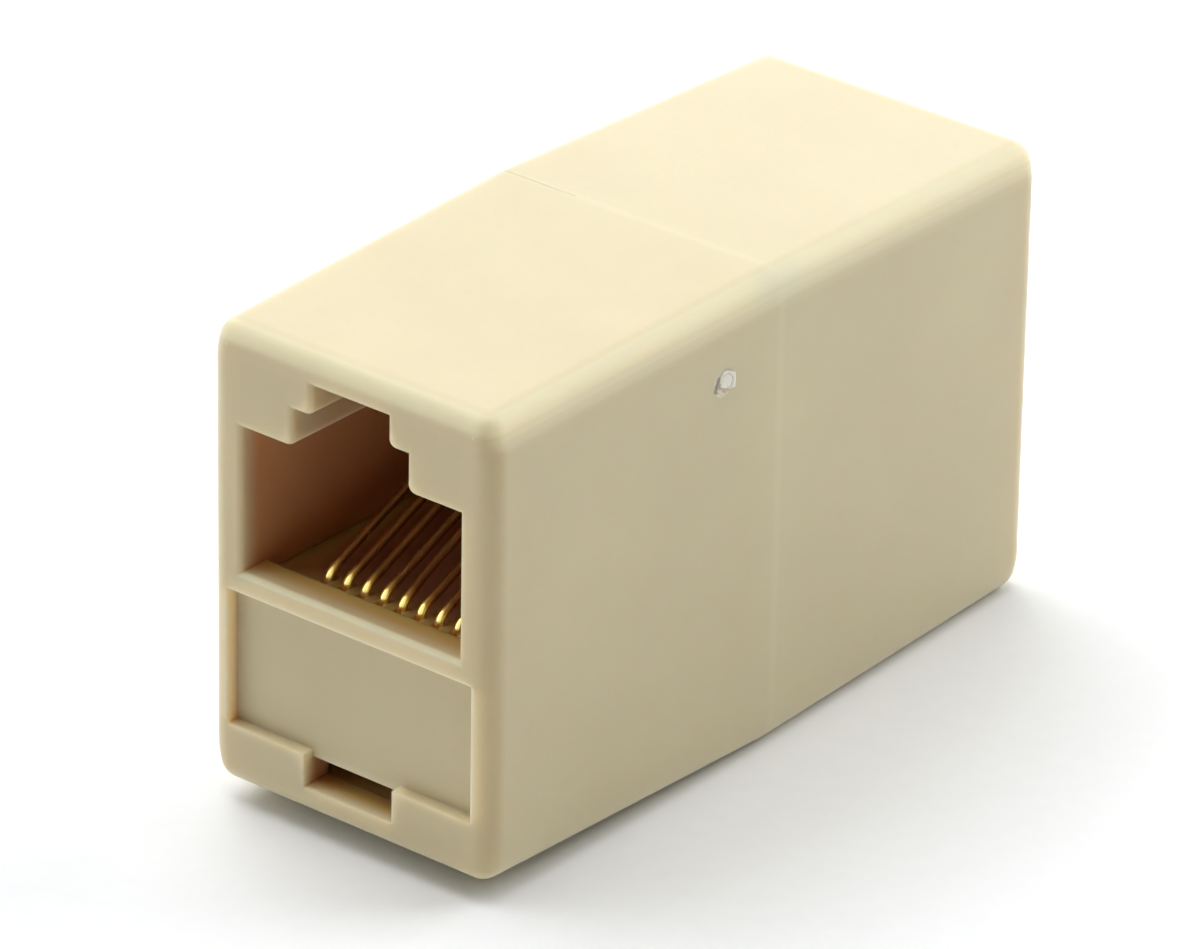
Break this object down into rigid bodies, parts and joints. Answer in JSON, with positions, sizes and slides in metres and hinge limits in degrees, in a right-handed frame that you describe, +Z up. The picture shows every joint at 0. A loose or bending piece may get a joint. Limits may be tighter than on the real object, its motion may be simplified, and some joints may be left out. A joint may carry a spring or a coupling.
{
  "type": "modular jack inline coupler",
  "caption": "Beige two-part inline coupler with a modular jack in each end, gold spring-wire contacts and jumper leads inside, joining two network plugs end to end.",
  "frame": {"origin": "middle of the bottom edge of the seam, at the centre of the footprint", "axes": "+X across the width, +Y along the length from the pictured (front) jack to the rear jack, +Z up, with the latch keyways at the top of both jacks"},
  "size_m": [0.016, 0.0368, 0.0225],
  "materials": {
    "housing": "fine satin moulded texture, beige",
    "carrier": "smooth moulded, beige",
    "contact": "gold-plated drawn wire",
    "lead_blue": "extruded insulation",
    "lead_orange": "extruded insulation",
    "lead_black": "extruded insulation",
    "lead_red": "extruded insulation",
    "lead_green": "extruded insulation",
    "lead_yellow": "extruded insulation",
    "lead_brown": "extruded insulation",
    "lead_grey": "extruded insulation"
  },
  "bodies": {
    "root": {"front_shell": "housing", "rear_shell": "housing", "front_carrier": "carrier", "rear_carrier": "carrier", "front_contact_1": "contact", "rear_contact_1": "contact", "front_contact_2": "contact", "rear_contact_2": "contact", "front_contact_3": "contact", "rear_contact_3": "contact", "front_contact_4": "contact", "rear_contact_4": "contact", "front_contact_5": "contact", "rear_contact_5": "contact", "front_contact_6": "contact", "rear_contact_6": "contact", "front_contact_7": "contact", "rear_contact_7": "contact", "front_contact_8": "contact", "rear_contact_8": "contact", "lead_1": "lead_blue", "lead_2": "lead_orange", "lead_3": "lead_black", "lead_4": "lead_red", "lead_5": "lead_green", "lead_6": "lead_yellow", "lead_7": "lead_brown", "lead_8": "lead_grey"}
  },
  "joints": []
}
